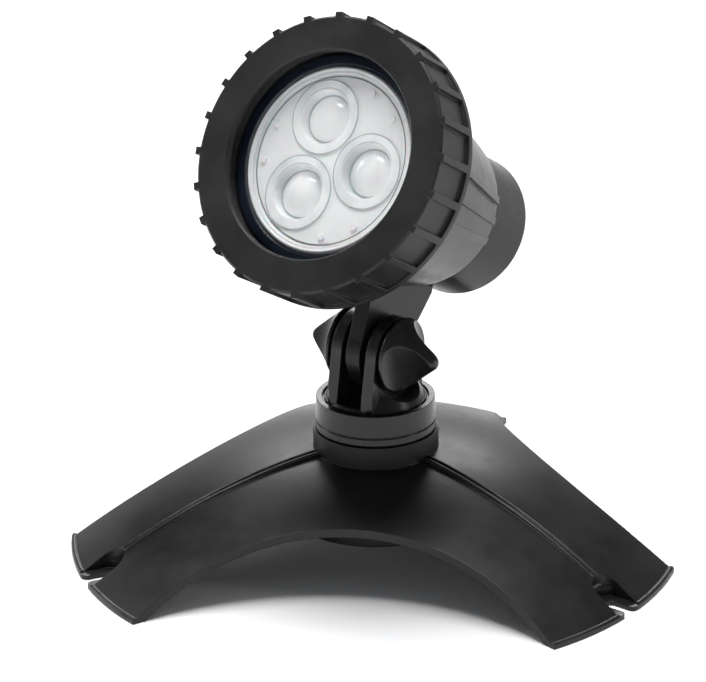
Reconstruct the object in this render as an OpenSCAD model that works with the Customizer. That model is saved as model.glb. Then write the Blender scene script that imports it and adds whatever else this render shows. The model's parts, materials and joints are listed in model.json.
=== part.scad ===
// Underwater pond light: tripod base, swivelling clevis, tilting lamp head.
// Millimetres. +Z up, floor at z = 0, swivel axis on the Z axis.

/* [Base] */

// radius of the circle the three leg ends lie on
leg_r = 84.46; // [80:0.5:90]
// height of the top of the domed base
dome_top = 27.35; // [26.5:0.05:28]
// radius of curvature of the domed base
dome_r = 149; // [145:1:156]
// shift of the three dome panels that makes the ridges
crease = 1.5; // [0.5:0.1:3]
// wall thickness of the base shell
shell_t = 2.2; // [1.8:0.1:2.6]
// radius of the collar around the swivel
collar_r = 17.2; // [16.8:0.1:18]
// width of the screw slot in each leg end
slot_w = 3.3; // [3:0.1:4.2]

/* [Swivel and tilt] */

// heading of the lamp head about the swivel axis, degrees
yaw = -27.26; // [-180:1:180]
// upward tilt of the lamp head, degrees
tilt = 30.17; // [-20:1:60]
// height of the tilt bolt
bolt_z = 54.6; // [54:0.1:57]
// radius of the two grip knobs
knob_r = 10.4; // [10:0.1:10.8]
// turn of the wing grip on the open side, degrees
wing_turn = 108; // [0:1:180]
// turn of the grip on the bolt head side, degrees
grip_turn = 72; // [0:1:180]

/* [Lamp head] */

// radius of the front ring between its grip ribs
ring_r = 36.93; // [36.7:0.05:37.3]
// number of grip ribs on the front ring
ring_ribs = 24; // [18:1:30]
// length of the front ring
ring_len = 14.6; // [14.4:0.1:15]
// radius of the window in the front ring
window_r = 27.7; // [27:0.1:28]
// radius of the rear cap
cap_r = 19.8; // [19.4:0.1:20]
// distance of the cap's rear face behind the front face
cap_end = 79.7; // [76:0.1:84]
// radius of the hole the cable seal leaves for the cable
cable_r = 3.1; // [2.6:0.1:3.4]

/* [Hidden] */

$fn = 96;
eps = 0.01;
legs = [90, 210, 330];
gaps = [30, 150, 270];
leg_half = 19.4;              // half angle of a leg end
rim_half = 60 - leg_half;     // half angle of the cut between two legs
rim_mid = 42.9;               // distance of the cut from the axis between the legs
corner_x = leg_r * cos(rim_half);
corner_y = leg_r * sin(rim_half);
rim_sag = corner_x - rim_mid;
rim_r = (corner_y * corner_y + rim_sag * rim_sag) / (2 * rim_sag);
rim_c = rim_mid + rim_r;
bead_c = [-5.97, -131.20];      // centre of the bead arc in the leg's plane
bead_r = 160.32;                // radius to the crown of the beads
ridge_end = 74;
collar_top = 32.4;
hub_bore = 12.05;
hub_floor = 23.5;
hub_tube_r = 15;
plate_z = 7.2;                // underside of the closing plate below the hub
plate_t = 3;
boss_at = 19.5;
pocket_at = 77.5;             // centre of the screw pocket
pocket_r = 4.5;
pocket_floor = 1.2;

disc_top = 41.15;
disc_low = 32.75;
drum_r = 13.9;
gap_half = 4;                 // half of the gap between the ears
ear_out = 7.3;
ear_round = 10.2;
ear_foot = 12.9;
gap_floor = 41.8;
bolt_r = 2.5;
knob_at = 8.4;                // knob face, from the middle plane
knob_len = 12.1;
knob_recess = 12.2;           // radius of the hollow each knob turns in

lug_drop = 41.3;              // bolt below the head axis
lug_back = 52.9;              // bolt behind the front face
lug_half = 2.2;
lug_round = 10.5;
glass_front = 2.08;
glass_back = 5;
mouth = 6.4;                  // front face of the housing
lamp_at = 5.9;                // front face of the lamp
lens_turn = -4;
lens_at = 12;
cap_start = 52.9;

// sub-part to show, or all of them

// frames -------------------------------------------------------------

// X along the tilt bolt, -Y the way the head faces
module swivel_frame() { rotate([0, 0, yaw]) children(); }

// Z along the tilt bolt, outwards on the wing knob's side
module bolt_frame() {
    translate([0, 0, bolt_z]) rotate([0, 0, yaw]) rotate([0, 90, 0]) children();
}

// front face at z = 0, +Z out of the lamp, +Y up, X along the tilt bolt
module head_frame() {
    translate([0, 0, bolt_z]) rotate([90 - tilt, 0, yaw])
        translate([0, lug_drop, lug_back]) children();
}

// base -----------------------------------------------------------------

// one third of the domed shell: a spherical panel between two ridges
module panel() {
    intersection() {
        translate([-crease, 0, dome_top - dome_r]) difference() {
            sphere(r = dome_r, $fn = 180);
            sphere(r = dome_r - shell_t, $fn = 180);
        }
        linear_extrude(height = 60) polygon([[0, 0], [90, -90 * tan(60)], [90, 90 * tan(60)]]);
    }
}

// arc in the leg's plane from near the collar to the ridge's end, about centre c
module leg_arc(c, r) {
    start = asin((13 - c[0]) / r);
    stop = asin((ridge_end - c[0]) / r);
    translate([c[0], 0, c[1]]) rotate([90, 0, 0]) rotate([0, 0, 90 - stop])
        rotate_extrude(angle = stop - start, $fn = 240) translate([r, 0]) children();
}

// one raised ridge: two beads on a flat strip, along +X
module ridge() {
    leg_arc(bead_c, bead_r) for (s = [-1, 1]) translate([-0.65, s * 0.85]) circle(r = 0.65, $fn = 24);
    crest = [-crease / 2, dome_top - dome_r];
    leg_arc(crest, dome_r + 0.12) translate([-2.2, -1.3]) square([2.2, 2.6]);
}

// thick edge around one leg end
module leg_lip() {
    rotate(-leg_half - 1) rotate_extrude(angle = 2 * leg_half + 2) {
        translate([leg_r - 2.3, 0]) square([2.3, 0.9]);
        translate([leg_r - 0.8, 0.85]) circle(r = 0.8, $fn = 32);
    }
}

// solid floor below the screw pocket, along +X, just under the dome's surface
module foot_pad() {
    intersection() {
        translate([72, -6.5, 0]) cube([14, 13, 3.4]);
        cylinder(r = leg_r - 0.5, h = 10, $fn = 180);
        translate([-crease / 2, 0, dome_top - dome_r]) sphere(r = dome_r - 0.5, $fn = 180);
    }
}

// screw pocket and open slot of one leg end
module leg_pocket() {
    translate([pocket_at, 0, pocket_floor]) cylinder(r = pocket_r, h = 20);
    translate([pocket_at, -pocket_r, pocket_floor]) cube([20, 2 * pocket_r, 20]);
    translate([pocket_at + 0.8, 0, -1]) cylinder(r = slot_w / 2, h = 5, $fn = 48);
    translate([pocket_at + 0.8, -slot_w / 2, -1]) cube([20, slot_w, 5]);
    // rounded mouth of the slot
    mouth_r = 1.8;
    for (s = [-1, 1]) difference() {
        translate([leg_r - mouth_r, s * (slot_w / 2 + mouth_r / 2) - mouth_r / 2 - 0.2, -1])
            cube([mouth_r + 1, mouth_r + 0.4, 2.2 + eps]);
        translate([leg_r - mouth_r - 0.1, s * (slot_w / 2 + mouth_r), -2])
            cylinder(r = mouth_r, h = 5, $fn = 48);
    }
}

module base_shell() color([0.05, 0.05, 0.05]) difference() {
    union() {
        difference() {
            union() {
                intersection() {
                    for (g = gaps) rotate(g) panel();
                    difference() {
                        cylinder(r = leg_r - 1.15, h = 60, $fn = 180);
                        translate([0, 0, -1]) cylinder(r = 13.6, h = 62);
                    }
                }
                for (a = legs) rotate(a) {
                    leg_lip();
                    ridge();
                    foot_pad();
                }
            }
            for (g = gaps) rotate(g) translate([rim_c, 0, -1]) cylinder(r = rim_r, h = 60, $fn = 180);
        }
        // collar, hub tube and screw bosses
        translate([0, 0, 24]) cylinder(r = collar_r, h = collar_top - 24);
        translate([0, 0, plate_z + plate_t]) cylinder(r = hub_tube_r, h = 14.8);
        for (g = gaps) rotate(g) translate([boss_at, 0, plate_z + plate_t]) cylinder(r = 3.4, h = 14, $fn = 48);
    }
    translate([0, 0, hub_floor]) cylinder(r = hub_bore, h = 20);
    translate([0, 0, 5]) cylinder(r = 12.4, h = 14.9);
    translate([0, 0, 10]) cylinder(r = bolt_r + 0.3, h = 20, $fn = 48);
    for (g = gaps) rotate(g) translate([boss_at, 0, 5]) cylinder(r = 1.55, h = 16, $fn = 32);
    for (a = legs) rotate(a) leg_pocket();
}

module hub_plate() color([0.06, 0.06, 0.06]) difference() {
    union() {
        translate([0, 0, plate_z + 0.6]) cylinder(r = 26, h = plate_t - 0.6);
        translate([0, 0, plate_z]) cylinder(r1 = 25.4, r2 = 26, h = 0.6);
        translate([0, 0, plate_z + plate_t - eps]) difference() {
            cylinder(r = 26, h = 4);
            translate([0, 0, -1]) cylinder(r = 24, h = 6);
        }
    }
    for (g = gaps) rotate(g) translate([boss_at, 0, 0]) {
        cylinder(r = 3.1, h = plate_z + 1.9, $fn = 48);
        cylinder(r = 1.7, h = 20, $fn = 32);
    }
    for (k = [0:5]) rotate(k * 60) translate([9, -0.8, plate_z - 1]) cube([8, 1.6, 1.7]);
}

module hub_plate_screws() color([0.7, 0.7, 0.7]) for (g = gaps) rotate(g) translate([boss_at, 0, 0])
    difference() {
        union() {
            translate([0, 0, plate_z + 0.3]) cylinder(r = 2.8, h = 1.6, $fn = 48);
            translate([0, 0, plate_z + 1.5]) cylinder(r = 1.5, h = 11.5, $fn = 32);
        }
        for (t = [0, 90]) rotate(t) translate([-1.8, -0.35, plate_z - 0.5]) cube([3.6, 0.7, 1.7]);
    }

// swivel and tilt --------------------------------------------------------

// outline of an ear: round top about the bolt, sides leaving it near the tangent
module ear_outline() {
    drop = bolt_z - disc_top + 1;
    inner = ear_round - 0.06;
    turn = acos(inner / norm([ear_foot, drop])) - atan2(drop, ear_foot);
    tx = inner * cos(turn);
    ty = inner * sin(turn);
    circle(r = ear_round);
    polygon([[-ear_foot, -drop], [ear_foot, -drop], [tx, ty], [-tx, ty]]);
}

module pedestal() color([0.05, 0.05, 0.05]) swivel_frame() difference() {
    union() {
        translate([0, 0, disc_low]) cylinder(r1 = 16.7, r2 = 16.2, h = disc_top - disc_low);
        translate([0, 0, hub_floor + 0.1]) cylinder(r = hub_bore - 0.05, h = 12);
        intersection() {
            union() {
                translate([0, 0, disc_top - 1]) cylinder(r1 = drum_r, r2 = drum_r - 0.4, h = 1.2);
                translate([0, 0, disc_top + 0.2 - eps]) cylinder(r1 = drum_r - 0.4, r2 = 8.2, h = 9);
                for (s = [-1, 1]) translate([s * (gap_half + ear_out) / 2, 0, bolt_z]) rotate([90, 0, 90])
                    linear_extrude(height = ear_out - gap_half, center = true) ear_outline();
            }
            cylinder(r = drum_r, h = 90);
        }
    }
    // gap for the lug
    translate([-gap_half, -30, gap_floor]) cube([2 * gap_half, 60, 40]);
    // fine line round the disc
    translate([0, 0, disc_low + 1.9]) difference() {
        cylinder(r = 20, h = 0.35);
        translate([0, 0, -1]) cylinder(r = 16.3, h = 3);
    }
    // groove inside the rim of the disc
    translate([0, 0, disc_top - 0.9]) difference() {
        cylinder(r = drum_r + 0.7, h = 3);
        translate([0, 0, -1]) cylinder(r = drum_r, h = 6);
    }
    // recess for each knob, bolt hole, swivel screw
    for (s = [-1, 1]) scale([s, 1, 1]) translate([ear_out, 0, bolt_z]) rotate([0, 90, 0])
        cylinder(r = knob_recess, h = 20);
    translate([0, 0, bolt_z]) rotate([0, 90, 0]) cylinder(r = bolt_r + 0.05, h = 60, center = true, $fn = 48);
    translate([0, 0, 36]) cylinder(r = 4.7, h = 8, $fn = 64);
    translate([0, 0, 10]) cylinder(r = bolt_r + 0.1, h = 40, $fn = 48);
    // shallow relief on the outer face of each ear
    for (s = [-1, 1]) translate([s * ear_out, 0, bolt_z]) rotate([0, 90, 0])
        difference() {
            cylinder(r = 8.6, h = 0.8, center = true);
            cylinder(r = 7.6, h = 2, center = true);
        }
}

module swivel_screw() color([0.75, 0.75, 0.74]) difference() {
    union() {
        translate([0, 0, 36]) cylinder(r = 4.4, h = 3.2, $fn = 64);
        translate([0, 0, 39.2 - eps]) cylinder(r1 = 4.4, r2 = 3.7, h = 0.7, $fn = 64);
        translate([0, 0, 12.6]) cylinder(r = bolt_r, h = 24, $fn = 48);
    }
    translate([0, 0, 37.4]) cylinder(r = 2.3, h = 5, $fn = 6);
}

module swivel_washer() color([0.7, 0.7, 0.69]) difference() {
    translate([0, 0, 18.6]) cylinder(r = 7.5, h = 1.2);
    cylinder(r = bolt_r + 0.1, h = 40, $fn = 48);
}

module swivel_nut() color([0.72, 0.72, 0.7]) difference() {
    union() {
        translate([0, 0, 14]) cylinder(r = 4.6, h = 4.5, $fn = 6);
        translate([0, 0, 13.2]) cylinder(r = 3.6, h = 1, $fn = 48);
    }
    cylinder(r = bolt_r + 0.03, h = 40, $fn = 48);
}

module tilt_bolt() color([0.72, 0.72, 0.7]) bolt_frame() {
    translate([0, 0, -knob_at - 1]) cylinder(r = bolt_r, h = 2 * knob_at + 5.4, $fn = 48);
    translate([0, 0, -knob_at - 2.4]) cylinder(r = 4.5, h = 2.4, $fn = 6);
}

// body of a grip: a cone with a round end, drawn in by two deep scoops to a blade
module grip_body(turn) {
    tip_r = 2.3;
    scoop_r = 8.65;
    shoulder = 0.7;
    fall = knob_len - tip_r - shoulder;
    lean = atan2(knob_r, fall) - asin(tip_r / norm([knob_r, fall]));
    difference() {
        union() {
            translate([0, 0, knob_len - tip_r]) sphere(r = tip_r, $fn = 64);
            cylinder(r1 = knob_r - 0.3, r2 = knob_r, h = 0.3);
            translate([0, 0, 0.3 - eps]) cylinder(r = knob_r, h = shoulder - 0.3 + 2 * eps);
            translate([0, 0, shoulder]) cylinder(r1 = knob_r, r2 = tip_r * cos(lean) - 0.02,
                h = fall + tip_r * sin(lean));
        }
        rotate(turn) for (s = [-1, 1]) translate([s * 10.5, 0, 9.5]) rotate([90, 0, 0])
            cylinder(r = scoop_r, h = 60, center = true);
    }
}

module grip_knob() color([0.05, 0.05, 0.05]) bolt_frame() mirror([0, 0, 1]) translate([0, 0, knob_at])
    difference() {
        grip_body(grip_turn);
        translate([0, 0, -1]) cylinder(r = 4.53, h = 3.45, $fn = 6);
    }

module wing_knob() color([0.05, 0.05, 0.05]) bolt_frame() translate([0, 0, knob_at]) difference() {
    grip_body(wing_turn);
    translate([0, 0, -1]) cylinder(r = 3.22, h = 4.85, $fn = 48);
    translate([0, 0, -1]) cylinder(r = bolt_r + 0.1, h = 5.8, $fn = 48);
}

module wing_insert() color([0.8, 0.65, 0.3]) bolt_frame() translate([0, 0, knob_at]) difference() {
    cylinder(r = 3.2, h = 3.8, $fn = 48);
    translate([0, 0, -1]) cylinder(r = bolt_r + 0.05, h = 10, $fn = 48);
}

module knob_washers() color([0.7, 0.7, 0.7]) bolt_frame() for (s = [0, 1]) mirror([0, 0, s]) difference() {
    translate([0, 0, ear_out + 0.02]) cylinder(r = 7, h = 0.98);
    cylinder(r = bolt_r + 0.1, h = 30, $fn = 48);
}

// grooved friction discs on both sides of the lug
module tilt_discs() color([0.12, 0.12, 0.12]) bolt_frame() for (s = [0, 1]) mirror([0, 0, s]) difference() {
    translate([0, 0, lug_half]) cylinder(r = 7.6, h = 1.7);
    cylinder(r = bolt_r + 0.3, h = 30, $fn = 48);
    for (k = [0:17]) rotate(k * 20) translate([4.2, -0.35, lug_half + 1.3]) cube([2.6, 0.7, 2]);
}

// lamp head ----------------------------------------------------------------

// longitudinal ribs on both flanks of the bell
module bell_ribs() {
    for (side = [0, 180], k = [-1:1]) rotate(side + k * 14.5) translate([0, 0, -56.5]) difference() {
        rotate([90, 0, 0]) linear_extrude(height = 2, center = true)
            polygon([[19, 0], [23.1, 0], [26.7, 15], [32.85, 41.6], [28, 41.6]]);
    }
}

// web below the bell with the round eye for the tilt bolt
module lug_outline() {
    translate([-lug_back, -lug_drop]) circle(r = lug_round);
    polygon([[-lug_back + lug_round, -lug_drop], [-40.6, -29.8], [-40, -22], [-68.6, -19],
        [-69.2, -21.4], [-66.3, -30.2], [-lug_back - lug_round, -lug_drop + 1.2],
        [-lug_back - lug_round, -lug_drop]]);
}

module housing() color([0.05, 0.05, 0.05]) head_frame() difference() {
    union() {
        rotate_extrude() polygon([[28.1, -mouth], [33.1, -mouth], [33.1, -ring_len - 0.3],
            [32.1, -ring_len - 0.3], [25.8, -41.5], [22.4, -56.1], [21.9, -57.6], [21.2, -58.9],
            [20.5, -59.7], [19.9, -60], [19.85, -60], [19.85, -52.6], [20.5, -52.6], [23.3, -41.5],
            [28.9, -16.5], [28.9, -14], [26.6, -11.7], [26.6, -9.2], [28.1, -9.2]]);
        difference() {
            bell_ribs();
            translate([0, 0, -60]) cylinder(r = 20.4, h = 60);
            translate([0, 0, -60]) cylinder(r1 = 19.6, r2 = 29.5, h = 45.3);
        }
        difference() {
            rotate([0, -90, 0]) linear_extrude(height = 2 * lug_half, center = true)
                lug_outline();
            translate([0, 0, -60]) cylinder(r1 = 20.6, r2 = 29, h = 45);
            translate([0, 0, -90]) cylinder(r = cap_r + 0.05, h = 60);
        }
    }
    // groove for the front seal
    translate([0, 0, -mouth - 1.5]) difference() {
        cylinder(r = 31.9, h = 5);
        translate([0, 0, -1]) cylinder(r = 28.9, h = 10);
    }
    translate([0, -lug_drop, -lug_back]) rotate([0, 90, 0])
        cylinder(r = bolt_r + 0.3, h = 20, center = true, $fn = 48);
}

module rear_cap() color([0.05, 0.05, 0.05]) head_frame() difference() {
    rotate_extrude() {
        translate([cap_r - 2.6, -cap_end + 2]) square([2.6, cap_end - 2 - cap_start]);
        translate([cap_r - 2, -cap_end + 2]) circle(r = 2, $fn = 48);
        translate([6.05, -cap_end]) square([cap_r - 2 - 6.05, 3]);
    }
    // groove for the cap's seal ring
    translate([0, 0, -57.4]) difference() {
        cylinder(r = cap_r + 1, h = 2.2);
        translate([0, 0, -1]) cylinder(r = cap_r - 1.3, h = 5);
    }
}

module cap_seal() color([0.1, 0.1, 0.1]) head_frame() translate([0, 0, -56.3])
    rotate_extrude() translate([cap_r - 0.62, 0]) circle(r = 0.64, $fn = 32);

module gland_body() color([0.08, 0.08, 0.08]) head_frame() difference() {
    union() {
        translate([0, 0, -cap_end]) cylinder(r = 6, h = 8, $fn = 64);
        translate([0, 0, -cap_end - 3.5]) cylinder(r = 8.4, h = 3.5, $fn = 6);
        translate([0, 0, -cap_end - 9.5]) cylinder(r = 6, h = 6.5, $fn = 64);
    }
    translate([0, 0, -cap_end - 10]) cylinder(r = cable_r + 1.1, h = 30, $fn = 64);
    translate([0, 0, -cap_end - 10]) cylinder(r = 4.75, h = 7.5, $fn = 64);
}

module gland_seal() color([0.15, 0.15, 0.15]) head_frame() difference() {
    union() {
        translate([0, 0, -cap_end - 9.6]) cylinder(r = 4.7, h = 7, $fn = 64);
        translate([0, 0, -cap_end - 9.6]) cylinder(r = 4.2, h = 1, $fn = 64);
    }
    translate([0, 0, -cap_end - 20]) cylinder(r = cable_r, h = 30, $fn = 64);
}

module gland_nut() color([0.08, 0.08, 0.08]) head_frame() difference() {
    union() {
        translate([0, 0, -cap_end - 8.7]) cylinder(r = 8.2, h = 5, $fn = 6);
        translate([0, 0, -cap_end - 11.6]) cylinder(r1 = 5.4, r2 = 7, h = 3, $fn = 64);
    }
    translate([0, 0, -cap_end - 9.7]) cylinder(r = 6.05, h = 12, $fn = 64);
    translate([0, 0, -cap_end - 20]) cylinder(r = cable_r + 1.1, h = 30, $fn = 64);
}

module front_ring() color([0.05, 0.05, 0.05]) head_frame() {
    rotate_extrude($fn = 144) polygon([[window_r, -2], [window_r, -0.6], [window_r + 0.5, 0],
        [ring_r - 0.6, 0], [ring_r, -0.6], [ring_r, -ring_len + 2.2], [ring_r + 0.97, -ring_len + 2],
        [ring_r + 0.97, -ring_len + 0.4], [ring_r + 0.57, -ring_len], [33.4, -ring_len], [33.4, -2]]);
    for (k = [0:ring_ribs - 1]) rotate(9 + k * 360 / ring_ribs)
        translate([ring_r - 0.9, -1, -ring_len + 1.2]) cube([1.87, 2, ring_len - 1.2]);
}

module glass() color([0.8, 0.9, 0.95, 0.35]) head_frame() {
    translate([0, 0, -glass_back]) cylinder(r = 32.6, h = glass_back - glass_front - 0.4, $fn = 144);
    translate([0, 0, -glass_front - 0.4 - eps]) cylinder(r1 = 32.6, r2 = 32.2, h = 0.4 + eps, $fn = 144);
}

module front_seal() color([0.12, 0.12, 0.12]) head_frame() translate([0, 0, -mouth - 0.05])
    rotate_extrude($fn = 144) translate([30.4, 0]) circle(r = 1.33, $fn = 32);

module lamp_collar() color([0.05, 0.06, 0.12]) head_frame() rotate_extrude($fn = 144)
    polygon([[25.15, -6.3], [25.7, -5.7], [27.95, -5.7], [27.95, -9.1], [26.5, -9.1], [26.5, -11],
        [25.15, -11]]);

// lamp ---------------------------------------------------------------------

module lens_spots() { for (k = [0:2]) rotate(lens_turn + k * 120) translate([lens_at, 0, 0]) children(); }

module lamp_face() color([0.85, 0.86, 0.88]) head_frame() {
    difference() {
        union() {
            translate([0, 0, -lamp_at - 2.4]) cylinder(r = 25, h = 1.9, $fn = 120);
            translate([0, 0, -lamp_at - 0.5 - eps]) cylinder(r1 = 25, r2 = 24.5, h = 0.5 + eps, $fn = 120);
        }
        translate([0, 0, -lamp_at - 0.9]) cylinder(r = 23.2, h = 3, $fn = 120);
        translate([0, 0, -lamp_at - 1.3]) difference() {
            cylinder(r = 22.9, h = 1, $fn = 120);
            translate([0, 0, -1]) cylinder(r = 22.3, h = 3, $fn = 120);
        }
        lens_spots() translate([0, 0, -20]) cylinder(r = 10.05, h = 30, $fn = 72);
    }
    for (k = [0:2], s = [-1, 1]) rotate(lens_turn + 60 + k * 120 + s * 14)
        translate([20.4, 0, -lamp_at - 1.5]) cylinder(r = 0.9, h = 1.2, $fn = 32);
}

module lamp_lenses() color([0.9, 0.93, 0.95, 0.35]) head_frame() lens_spots() {
    difference() {
        union() {
            translate([0, 0, -8.2]) cylinder(r = 9.98, h = 1.7, $fn = 72);
            translate([0, 0, -15.2]) cylinder(r1 = 4.4, r2 = 9.7, h = 7.1, $fn = 72);
        }
        translate([0, 0, -9.4]) cylinder(r1 = 6.6, r2 = 7.6, h = 4, $fn = 72);
        translate([0, 0, -16]) cylinder(r = 2.7, h = 3.2, $fn = 48);
    }
    intersection() {
        translate([0, 0, -9.6 - 7.2]) sphere(r = 10, $fn = 72);
        translate([0, 0, -9.6]) cylinder(r = 6.2, h = 5, $fn = 72);
    }
}

module led_chips() color([0.95, 0.9, 0.5]) head_frame() lens_spots() {
    translate([-1.7, -1.7, -15.9]) cube([3.4, 3.4, 0.9]);
    intersection() {
        translate([0, 0, -15.1]) sphere(r = 1.4, $fn = 48);
        translate([0, 0, -15.1]) cylinder(r = 3, h = 3, $fn = 48);
    }
}

module lamp_board() color([0.9, 0.92, 0.9]) head_frame() difference() {
    translate([0, 0, -17.5]) cylinder(r = 20.6, h = 1.6, $fn = 96);
    translate([0, 0, -20]) cylinder(r = 1.6, h = 10, $fn = 32);
    for (k = [0:2]) rotate(lens_turn + 60 + k * 120) translate([15.5, 0, -20]) cylinder(r = 1.2, h = 8, $fn = 32);
}

module lamp_body() color([0.75, 0.76, 0.78]) head_frame() difference() {
    rotate_extrude() polygon([[21.9, -8.35], [24.9, -8.35], [24.9, -10.4], [22.6, -18], [15.5, -31],
        [12.4, -38], [9, -38], [9, -21], [0, -21], [0, -17.55], [21, -17.55], [21.9, -14]]);
    for (k = [0:17]) rotate(k * 20) translate([14, -0.8, -33]) cube([12, 1.6, 14.2]);
}

module lamp_base() color([0.88, 0.88, 0.85]) head_frame() difference() {
    union() {
        translate([0, 0, -38.1]) cylinder(r = 8.95, h = 12.1, $fn = 64);
        translate([0, 0, -41]) cylinder(r = 11.6, h = 2.96, $fn = 64);
        translate([-7.5, -4.5, -47]) cube([15, 9, 6.5]);
    }
    translate([0, 0, -38]) cylinder(r = 7.2, h = 13, $fn = 64);
    for (s = [-1, 1]) translate([s * 2.665, 0, -50]) cylinder(r = 0.75, h = 8, $fn = 32);
}

module lamp_pins() color([0.8, 0.8, 0.78]) head_frame() for (s = [-1, 1]) translate([s * 2.665, 0, 0]) {
    translate([0, 0, -53.5]) cylinder(r = 0.74, h = 11.4, $fn = 32);
    translate([0, 0, -54]) cylinder(r1 = 0.4, r2 = 0.74, h = 0.51, $fn = 32);
}

module lamp_socket() color([0.85, 0.83, 0.78]) head_frame() difference() {
    union() {
        translate([-9.5, -5.5, -59]) cube([19, 11, 11.6]);
        translate([-12.5, -3.5, -56]) cube([25, 7, 3]);
    }
    for (s = [-1, 1]) {
        translate([s * 2.665, 0, -56]) cylinder(r = 0.8, h = 12, $fn = 32);
        translate([s * 10.9, 0, -60]) cylinder(r = 0.9, h = 12, $fn = 32);
        translate([s * 2.665, 0, -62]) cylinder(r = 1.3, h = 5, $fn = 32);
    }
}

base_shell();
hub_plate();
hub_plate_screws();
pedestal();
swivel_screw();
swivel_washer();
swivel_nut();
tilt_bolt();
grip_knob();
wing_knob();
wing_insert();
knob_washers();
tilt_discs();
housing();
rear_cap();
cap_seal();
gland_body();
gland_seal();
gland_nut();
front_ring();
glass();
front_seal();
lamp_collar();
lamp_face();
lamp_lenses();
led_chips();
lamp_board();
lamp_body();
lamp_base();
lamp_pins();
lamp_socket();
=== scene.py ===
"""Underwater pond light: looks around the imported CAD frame. Lengths are in metres."""
import json
import math

import bmesh
import bpy
from mathutils import Matrix, Vector


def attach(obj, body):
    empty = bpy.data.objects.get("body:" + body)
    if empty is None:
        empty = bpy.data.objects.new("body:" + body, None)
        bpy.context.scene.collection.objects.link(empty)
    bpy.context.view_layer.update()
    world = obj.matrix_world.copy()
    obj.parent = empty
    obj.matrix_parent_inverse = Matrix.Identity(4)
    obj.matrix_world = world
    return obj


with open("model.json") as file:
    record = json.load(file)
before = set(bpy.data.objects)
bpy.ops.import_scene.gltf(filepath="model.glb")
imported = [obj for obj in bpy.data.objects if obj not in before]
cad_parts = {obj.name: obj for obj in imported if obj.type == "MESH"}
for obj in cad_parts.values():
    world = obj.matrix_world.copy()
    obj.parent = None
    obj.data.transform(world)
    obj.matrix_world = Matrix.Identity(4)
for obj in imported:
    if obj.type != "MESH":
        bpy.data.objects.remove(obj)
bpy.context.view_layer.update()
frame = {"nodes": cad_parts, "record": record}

RECORD = frame["record"]
NODES = frame["nodes"]
MM = 0.001

# ------------------------------------------------------------ shader helpers


class Net:
    """The shader nodes of one material, with short calls to add and link them."""

    def __init__(self, name):
        self.mat = bpy.data.materials.new(name)
        self.mat.use_nodes = True
        self.tree = self.mat.node_tree
        self.tree.nodes.clear()
        output = self.add("ShaderNodeOutputMaterial")
        self.bsdf = self.add("ShaderNodeBsdfPrincipled")
        self.link(self.bsdf.outputs[0], output.inputs["Surface"])
        self.coord = self.add("ShaderNodeTexCoord").outputs["Object"]

    def add(self, kind, **values):
        node = self.tree.nodes.new(kind)
        for key, value in values.items():
            setattr(node, key, value)
        return node

    def link(self, a, b):
        self.tree.links.new(a, b)

    def set(self, **values):
        """Uniform values of the shader; an underscore in a name stands for a space."""
        for key, value in values.items():
            self.bsdf.inputs[key.replace("_", " ")].default_value = value

    def noise(self, scale, detail, rough=0.55, stretch=None):
        """Noise in the piece's own space; the scale is about the number of spots in a metre."""
        node = self.add("ShaderNodeTexNoise")
        node.inputs["Scale"].default_value = scale
        node.inputs["Detail"].default_value = detail
        node.inputs["Roughness"].default_value = rough
        source = self.coord
        if stretch:
            mapping = self.add("ShaderNodeMapping")
            mapping.inputs["Scale"].default_value = stretch
            self.link(source, mapping.inputs["Vector"])
            source = mapping.outputs[0]
        self.link(source, node.inputs["Vector"])
        return node.outputs["Fac"]

    def ranged(self, value, low, high, to_low, to_high):
        """Maps low..high to to_low..to_high, clamped at both ends."""
        node = self.add("ShaderNodeMapRange")
        limits = {"From Min": low, "From Max": high, "To Min": to_low, "To Max": to_high}
        for key, number in limits.items():
            node.inputs[key].default_value = number
        self.link(value, node.inputs["Value"])
        return node.outputs[0]

    def maths(self, operation, a, b):
        """One sum on two values, each a number or a socket."""
        node = self.add("ShaderNodeMath", operation=operation)
        for socket, value in zip(node.inputs, (a, b)):
            if isinstance(value, (int, float)):
                socket.default_value = value
            else:
                self.link(value, socket)
        return node.outputs[0]

    def blend(self, factor, a, b):
        """Mixes two colours, each an RGB tuple or a socket."""
        node = self.add("ShaderNodeMix", data_type="RGBA")
        self.link(factor, node.inputs[0])
        for socket, value in ((node.inputs[6], a), (node.inputs[7], b)):
            if isinstance(value, tuple):
                socket.default_value = (*value, 1.0)
            else:
                self.link(value, socket)
        return node.outputs[2]

    def bump(self, height, strength, distance, normal=None):
        """Relief from a height between 0 and 1, as deep as the distance, laid over a normal."""
        node = self.add("ShaderNodeBump")
        node.inputs["Strength"].default_value = strength
        node.inputs["Distance"].default_value = distance
        self.link(height, node.inputs["Height"])
        if normal is not None:
            self.link(normal, node.inputs["Normal"])
        return node.outputs[0]

    def edges(self, radius):
        """A mask that is 0 on open faces and rises to 1 on edges, and the rounded normal."""
        bevel = self.add("ShaderNodeBevel", samples=6)
        bevel.inputs["Radius"].default_value = radius
        geometry = self.add("ShaderNodeNewGeometry")
        dot = self.add("ShaderNodeVectorMath", operation="DOT_PRODUCT")
        self.link(bevel.outputs[0], dot.inputs[0])
        self.link(geometry.outputs["Normal"], dot.inputs[1])
        # the rounded normal leaves the face's own towards an edge, so their product falls there
        mask = self.ranged(dot.outputs["Value"], 0.98, 0.75, 0.0, 1.0)
        return mask, bevel.outputs[0]


def shaded(tone, share):
    """A colour made darker or lighter by a share."""
    return tuple(share * t for t in tone)


# ------------------------------------------------------------------ materials

NEUTRAL_BLACK = (1.0, 1.0, 1.02)
GRAIN_SIZE = 0.7 * MM       # of the spark texture on moulded plastic


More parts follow.
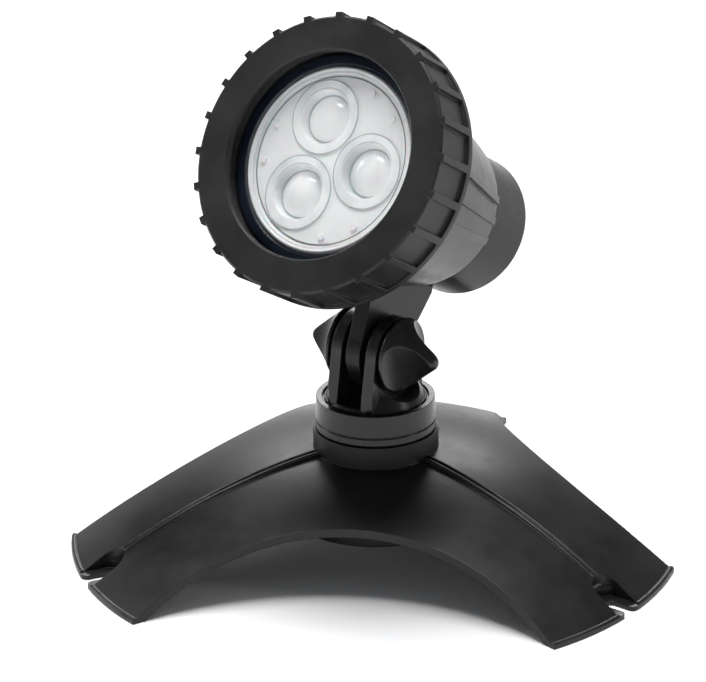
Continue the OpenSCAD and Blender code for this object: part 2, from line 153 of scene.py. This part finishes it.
def moulded(name, tone, rough, grain=0.35, worn_and_glint=0.35, edge=0.35 * MM, tint=NEUTRAL_BLACK, shine=0.36):
    """Dark moulded plastic: spark texture, faint mottling, scuffs and slightly polished edges, painted
    lighter partly as wear and partly as a painted highlight of edge glints.
    """
    net = Net(name)
    mottled = net.noise(55, 4)
    base = shaded(tint, tone)
    light = tuple(1.7 * channel + 0.004 for channel in base)
    colour = net.blend(net.ranged(mottled, 0.35, 0.7, 0.0, 1.0), base, light)

    edge_mask, rounded = net.edges(edge)
    scratched = net.ranged(net.noise(260, 5, 0.7, (1, 1, 0.25)), 0.5, 0.72, 0.0, 1.0)
    # lighter edges: partly rubbed wear and partly a painted highlight that stands in for glints of
    # light on the edges
    wear_and_glint = net.maths("MULTIPLY", edge_mask, net.ranged(net.noise(420, 3), 0.35, 0.65, 0.25, 1.0))
    rubbed_and_glint = (3 * tone + 0.045,) * 3
    colour = net.blend(net.maths("MULTIPLY", wear_and_glint, worn_and_glint), colour, rubbed_and_glint)
    net.link(colour, net.bsdf.inputs["Base Color"])

    roughness = net.ranged(mottled, 0.3, 0.7, rough - 0.04, rough + 0.06)
    roughness = net.maths("SUBTRACT", roughness, net.maths("MULTIPLY", wear_and_glint, 0.10))
    roughness = net.maths("ADD", roughness, net.maths("MULTIPLY", scratched, 0.05))
    net.link(roughness, net.bsdf.inputs["Roughness"])

    fine = net.bump(net.noise(1.0 / GRAIN_SIZE, 2, 0.6), grain, 0.06 * MM, rounded)
    wavy = net.bump(net.noise(90, 2), 0.25, 0.12 * MM, fine)
    net.link(wavy, net.bsdf.inputs["Normal"])
    net.set(IOR=1.5, Specular_IOR_Level=shine)
    return net.mat


def metal(name, tone, rough, brushed=(1, 1, 12)):
    """Metal with dull patches and fine marks, which run as lines where it is brushed."""
    net = Net(name)
    patches = net.noise(180, 4)
    colour = net.blend(net.ranged(patches, 0.35, 0.7, 0, 1), tone, shaded(tone, 0.72))
    net.link(colour, net.bsdf.inputs["Base Color"])
    net.link(net.ranged(patches, 0.3, 0.7, rough, rough + 0.16), net.bsdf.inputs["Roughness"])
    _, rounded = net.edges(0.2 * MM)
    lines = net.noise(900, 3, 0.6, brushed)
    net.link(net.bump(lines, 0.3, 0.03 * MM, rounded), net.bsdf.inputs["Normal"])
    net.set(Metallic=1.0)
    return net.mat


def rubber(name, tone):
    """Dull black rubber with a fine speck."""
    net = Net(name)
    speck = net.noise(300, 4)
    colour = net.blend(net.ranged(speck, 0.4, 0.7, 0, 1), (tone,) * 3, (2.2 * tone,) * 3)
    net.link(colour, net.bsdf.inputs["Base Color"])
    net.link(net.ranged(speck, 0.3, 0.7, 0.62, 0.8), net.bsdf.inputs["Roughness"])
    net.link(net.bump(net.noise(1400, 3), 0.35, 0.05 * MM), net.bsdf.inputs["Normal"])
    return net.mat


def pale_plastic(name, tone, rough, milky=0.0):
    """Smooth pale plastic or ceramic, slightly cloudy, with light inside when it is milky."""
    net = Net(name)
    cloud = net.noise(120, 3)
    colour = net.blend(net.ranged(cloud, 0.35, 0.7, 0, 1), tone, shaded(tone, 0.94))
    net.link(colour, net.bsdf.inputs["Base Color"])
    net.link(net.ranged(cloud, 0.3, 0.7, rough, rough + 0.1), net.bsdf.inputs["Roughness"])
    _, rounded = net.edges(0.2 * MM)
    net.link(net.bump(net.noise(1500, 2), 0.12, 0.03 * MM, rounded), net.bsdf.inputs["Normal"])
    if milky:
        net.set(Subsurface_Weight=milky, Subsurface_Scale=2 * MM)
    return net.mat


def window_glass(name, tint):
    """Float glass with a faint haze of fine marks; most light passes it straight."""
    net = Net(name)
    marks = net.noise(240, 5, 0.7)
    colour = net.blend(net.ranged(marks, 0.45, 0.75, 0, 1), tint, shaded(tint, 0.97))
    net.link(colour, net.bsdf.inputs["Base Color"])
    net.link(net.ranged(marks, 0.55, 0.8, 0.0, 0.03), net.bsdf.inputs["Roughness"])
    net.link(net.bump(net.noise(60, 2), 0.04, 0.05 * MM), net.bsdf.inputs["Normal"])
    net.set(IOR=1.45, Transmission_Weight=1.0, Alpha=0.07)
    return net.mat


def lens_acrylic(name):
    """Moulded optic that scatters light: bright, glossy, with soft streaks of painted shade and a faint
    glow that is painted light lifting its shade.
    """
    net = Net(name)
    shade_streaks = net.noise(130, 3, 0.5, (1, 1, 0.3))
    cloud = net.noise(70, 2)
    bright = (0.94, 0.945, 0.95)
    shadowy = (0.72, 0.76, 0.77)
    # the grey streaks are painted shade across the lens cups
    tone = net.blend(net.ranged(shade_streaks, 0.42, 0.66, 0, 1), bright, shadowy)
    net.link(tone, net.bsdf.inputs["Base Color"])
    net.link(net.ranged(cloud, 0.35, 0.65, 0.05, 0.14), net.bsdf.inputs["Roughness"])
    _, rounded = net.edges(0.4 * MM)
    net.link(net.bump(shade_streaks, 0.25, 0.3 * MM, rounded), net.bsdf.inputs["Normal"])
    # the emission is painted light that lifts the lens's shade; the lamp is not lit
    net.link(tone, net.bsdf.inputs["Emission Color"])
    net.set(IOR=1.49, Transmission_Weight=0.22, Emission_Strength=0.1)
    net.set(Subsurface_Weight=0.2, Subsurface_Scale=3 * MM)
    return net.mat


MATERIALS = {
    "base": moulded("black_base", 0.0055, 0.34, grain=0.30),
    "hub": moulded("black_hub", 0.0055, 0.25, grain=0.2, edge=0.4 * MM, shine=0.45),
    "grip": moulded("black_grip", 0.0055, 0.24, grain=0.2, edge=0.5 * MM, shine=0.5),
    "shell": moulded("black_shell", 0.0045, 0.3, grain=0.15, worn_and_glint=0.3, edge=0.4 * MM, shine=0.27),
    "ring": moulded("black_ring", 0.010, 0.42, worn_and_glint=0.7, edge=0.3 * MM),
    "steel": metal("stainless", (0.62, 0.61, 0.6), 0.26),
    "brass": metal("brass", (0.62, 0.45, 0.2), 0.3),
    "rubber": rubber("black_rubber", 0.014),
    "navy": moulded("navy_collar", 0.006, 0.3, grain=0.1, worn_and_glint=0.2, tint=(0.5, 1.0, 2.2), shine=0.25),
    "lamp_white": pale_plastic("lamp_white", (0.95, 0.955, 0.96), 0.2, milky=0.3),
    "socket": pale_plastic("socket_ceramic", (0.74, 0.71, 0.64), 0.5),
    "aluminium": metal("cast_aluminium", (0.72, 0.73, 0.75), 0.38, (1, 1, 1)),
    "board": pale_plastic("board_white", (0.82, 0.84, 0.82), 0.4),
    "led": pale_plastic("led_phosphor", (0.9, 0.88, 0.74), 0.4),
    "glass": window_glass("front_glass", (0.98, 0.99, 0.99)),
    "lens": lens_acrylic("lens_acrylic"),
    "rim": pale_plastic("bright_rim", (0.96, 0.965, 0.97), 0.12),
    # painted shade lines for the lamp face's step and groove
    "line": moulded("grey_shade_line", 0.05, 0.4, grain=0.1, worn_and_glint=0.1, shine=0.4),
    # grey of the lens lines: a dark joint at the lens edge, painted shade on the well and dome
    "joint_and_shade": pale_plastic("lens_joint_and_shade_line", (0.42, 0.47, 0.48), 0.15),
}

LOOKS = {
    "base": ["base_shell", "hub_plate"],
    "hub": ["pedestal"],
    "grip": ["grip_knob", "wing_knob"],
    "shell": ["housing", "rear_cap", "gland_body", "gland_nut", "tilt_discs"],
    "ring": ["front_ring"],
    "steel": [
        "hub_plate_screws", "swivel_screw", "swivel_washer", "swivel_nut",
        "tilt_bolt", "knob_washers", "lamp_pins",
    ],
    "brass": ["wing_insert"],
    "rubber": ["cap_seal", "gland_seal", "front_seal"],
    "navy": ["lamp_collar"],
    "lamp_white": ["lamp_face", "lamp_base"],
    "aluminium": ["lamp_body"],
    "board": ["lamp_board"],
    "led": ["led_chips"],
    "glass": ["glass"],
    "lens": ["lamp_lenses"],
    "socket": ["lamp_socket"],
}
for look, names in LOOKS.items():
    for name in names:
        mesh = NODES[name].data
        mesh.materials.clear()
        mesh.materials.append(MATERIALS[look])

# ------------------------------------------------- fine lines on the lamp face

JOINTS = {joint["name"]: joint for joint in RECORD["behaviour"]["joints"]}
RING_HALF = 7.3 * MM        # the ring's joint is halfway along the ring
FORWARD = Vector(JOINTS["front_ring_unscrew"]["axis"])
ACROSS = Vector(JOINTS["head_tilt"]["axis"])
UPWARD = FORWARD.cross(ACROSS)
FACE = Vector(JOINTS["front_ring_unscrew"]["pos_m"]) + RING_HALF * FORWARD
# the head's own frame: origin in the middle of the front face, Z out of the lamp
HEAD = Matrix((
    (ACROSS.x, UPWARD.x, FORWARD.x, FACE.x),
    (ACROSS.y, UPWARD.y, FORWARD.y, FACE.y),
    (ACROSS.z, UPWARD.z, FORWARD.z, FACE.z),
    (0, 0, 0, 1),
))
LENS_COUNT = 3
LENS_AT = 12 * MM           # from the middle of the face to the middle of a lens
LENS_TURN = -4              # degrees, the way of the first lens
BEAD_STEPS = 144
BEAD_SIDES = 10
TAPER_FLOOR = 0.08          # keeps the ends of an open bead from closing to a point
TAPER_POWER = 0.6           # below 1, so that the thickness falls only near the ends


def bead(name, radius, tube, depth, flat, centre=(0, 0), span=(0, 360)):
    """A fine bead along an arc, at a depth behind the front face.

    The tube is the bead's half thickness and flat its share of that along the depth. The span is
    in degrees; a bead that does not close thins towards its ends.
    """
    closed = span[1] - span[0] >= 360
    turns = BEAD_STEPS if closed else BEAD_STEPS + 1
    shape = bmesh.new()
    rings = []
    for i in range(turns):
        turn = math.radians(span[0] + (span[1] - span[0]) * i / BEAD_STEPS)
        if closed:
            fade = 1.0
        else:
            fade = max(TAPER_FLOOR, math.sin(math.pi * i / BEAD_STEPS)) ** TAPER_POWER
        ring = []
        for j in range(BEAD_SIDES):
            around = 2 * math.pi * j / BEAD_SIDES
            out = radius + tube * fade * math.cos(around)
            x = centre[0] + out * math.cos(turn)
            y = centre[1] + out * math.sin(turn)
            z = -depth + flat * tube * fade * math.sin(around)
            ring.append(shape.verts.new(HEAD @ Vector((x, y, z))))
        rings.append(ring)
    for i in range(turns if closed else turns - 1):
        a, b = rings[i], rings[(i + 1) % turns]
        for j in range(BEAD_SIDES):
            k = (j + 1) % BEAD_SIDES
            shape.faces.new((a[j], b[j], b[k], a[k]))
    if not closed:
        shape.faces.new(rings[0])
        shape.faces.new(reversed(rings[-1]))
    bmesh.ops.recalc_face_normals(shape, faces=shape.faces)

    mesh = bpy.data.meshes.new(name)
    shape.to_mesh(mesh)
    shape.free()
    mesh.polygons.foreach_set("use_smooth", [True] * len(mesh.polygons))
    piece = bpy.data.objects.new(name, mesh)
    bpy.context.scene.collection.objects.link(piece)
    return piece


def trim(piece, look):
    """Gives a bead its look and record slot, and fixes it to the head."""
    piece.data.materials.append(MATERIALS[look])
    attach(piece, "head")


# bright rim of the lamp and the two thin grey lines inside it, which are painted shade along the face's
# step and groove
rim = bead("lamp_rim", radius=24.3 * MM, tube=0.42 * MM, depth=5.95 * MM, flat=0.5)
trim(rim, "rim")
outer_shade_line = bead("lamp_shade_line_outer", radius=23.45 * MM, tube=0.16 * MM, depth=6.62 * MM, flat=0.6)
trim(outer_shade_line, "line")
inner_shade_line = bead("lamp_shade_line_inner", radius=22.5 * MM, tube=0.1 * MM, depth=6.75 * MM, flat=0.6)
trim(inner_shade_line, "line")

# edge, well and dome line of each lens: grey beads, the edge one its dark joint and the well and dome
# ones painted shade along the lens's curves
for number in range(LENS_COUNT):
    way = math.radians(LENS_TURN + 360 / LENS_COUNT * number)
    middle = (LENS_AT * math.cos(way), LENS_AT * math.sin(way))
    edge = bead(
        f"lens_edge_{number}", radius=9.9 * MM, tube=0.12 * MM, depth=6.46 * MM, flat=0.5, centre=middle
    )
    trim(edge, "joint_and_shade")
    well = bead(
        f"lens_well_{number}", radius=7.75 * MM, tube=0.09 * MM, depth=6.48 * MM, flat=0.5,
        centre=middle, span=(20, 200),
    )
    trim(well, "joint_and_shade")
    dome = bead(
        f"lens_dome_{number}", radius=6.3 * MM, tube=0.14 * MM, depth=8.9 * MM, flat=0.6, centre=middle
    )
    trim(dome, "joint_and_shade")

# --------------------------------------------------------------------- camera

# found by matching the object to the photo: place, turn, focal length and picture shift
CAMERA_AT = (0.107851, -0.730660, 0.353855)
CAMERA_TURN = (68.3031, 0.51828, 8.19043)       # degrees about X, Y and Z

camera = bpy.data.cameras.new("camera")
camera.sensor_width = 36
camera.lens = 149.962
camera.shift_x = -0.030921
camera.shift_y = -0.015892
camera.clip_start = 0.01
camera.clip_end = 20
camera.dof.use_dof = False
camera_object = bpy.data.objects.new("camera", camera)
bpy.context.scene.collection.objects.link(camera_object)
camera_object.location = CAMERA_AT
camera_object.rotation_euler = [math.radians(angle) for angle in CAMERA_TURN]
bpy.context.scene.camera = camera_object

# ---------------------------------------------------------------------- light


def softbox(name, place, aim, size, power):
    """A rectangular light at a place, turned towards its aim; the power is in watts."""
    light = bpy.data.lights.new(name, "AREA")
    light.shape = "RECTANGLE"
    light.size = size[0]
    light.size_y = size[1]
    light.energy = power
    box = bpy.data.objects.new(name, light)
    bpy.context.scene.collection.objects.link(box)
    box.location = place
    box.rotation_euler = (Vector(aim) - Vector(place)).to_track_quat("-Z", "Y").to_euler()


softbox("low_back", place=(-0.25, 1.7, 0.9), aim=(0, 0, 0.12), size=(1.0, 0.45), power=9)
softbox("side_left", place=(-1.6, 0.5, 0.7), aim=(0, 0, 0.08), size=(0.3, 0.9), power=6)
softbox("side_right", place=(1.6, -0.25, 0.5), aim=(0, 0, 0.08), size=(0.2, 0.7), power=3)

overhead = bpy.data.lights.new("overhead", "SUN")
overhead.energy = 3.3
overhead.angle = math.radians(34)
overhead_object = bpy.data.objects.new("overhead", overhead)
overhead_object.rotation_euler = (math.radians(-6), math.radians(-4), 0)
bpy.context.scene.collection.objects.link(overhead_object)

# brightness of the studio walls and ceiling, by the sine of the elevation
STUDIO = ((0.0, 0.8), (0.15, 0.72), (0.24, 0.24), (0.45, 0.12), (0.85, 0.15), (1.0, 0.4))
STUDIO_TINT = (0.95, 0.97, 1.0)
world = bpy.data.worlds.new("studio")
world.use_nodes = True
sky = world.node_tree
sky_way = sky.nodes.new("ShaderNodeTexCoord")
sky_split = sky.nodes.new("ShaderNodeSeparateXYZ")
sky_ramp = sky.nodes.new("ShaderNodeValToRGB")
sky.links.new(sky_way.outputs["Generated"], sky_split.inputs[0])
sky.links.new(sky_split.outputs["Z"], sky_ramp.inputs[0])
sky.links.new(sky_ramp.outputs[0], sky.nodes["Background"].inputs[0])
while len(sky_ramp.color_ramp.elements) < len(STUDIO):
    sky_ramp.color_ramp.elements.new(0.5)
for stop, (height, level) in zip(sky_ramp.color_ramp.elements, STUDIO):
    stop.position = height
    stop.color = (*shaded(STUDIO_TINT, level), 1)
bpy.context.scene.world = world
bpy.context.scene.view_settings.view_transform = "Standard"
bpy.context.scene.view_settings.look = "None"

# ---------------------------------------------------------------------- floor

FLOOR_HALF = 4              # metres
corners = [(-1, -1), (1, -1), (1, 1), (-1, 1)]
floor_mesh = bpy.data.meshes.new("floor")
floor_mesh.from_pydata([(FLOOR_HALF * x, FLOOR_HALF * y, 0) for x, y in corners], [], [(0, 1, 2, 3)])
floor = bpy.data.objects.new("floor", floor_mesh)
bpy.context.scene.collection.objects.link(floor)
floor_net = Net("pale_floor")
floor_tone = floor_net.blend(floor_net.noise(14, 3), (0.94, 0.945, 0.95), (0.96, 0.96, 0.965))
floor_net.link(floor_tone, floor_net.bsdf.inputs["Base Color"])
floor_net.set(Roughness=0.9)
floor_mesh.materials.append(floor_net.mat)
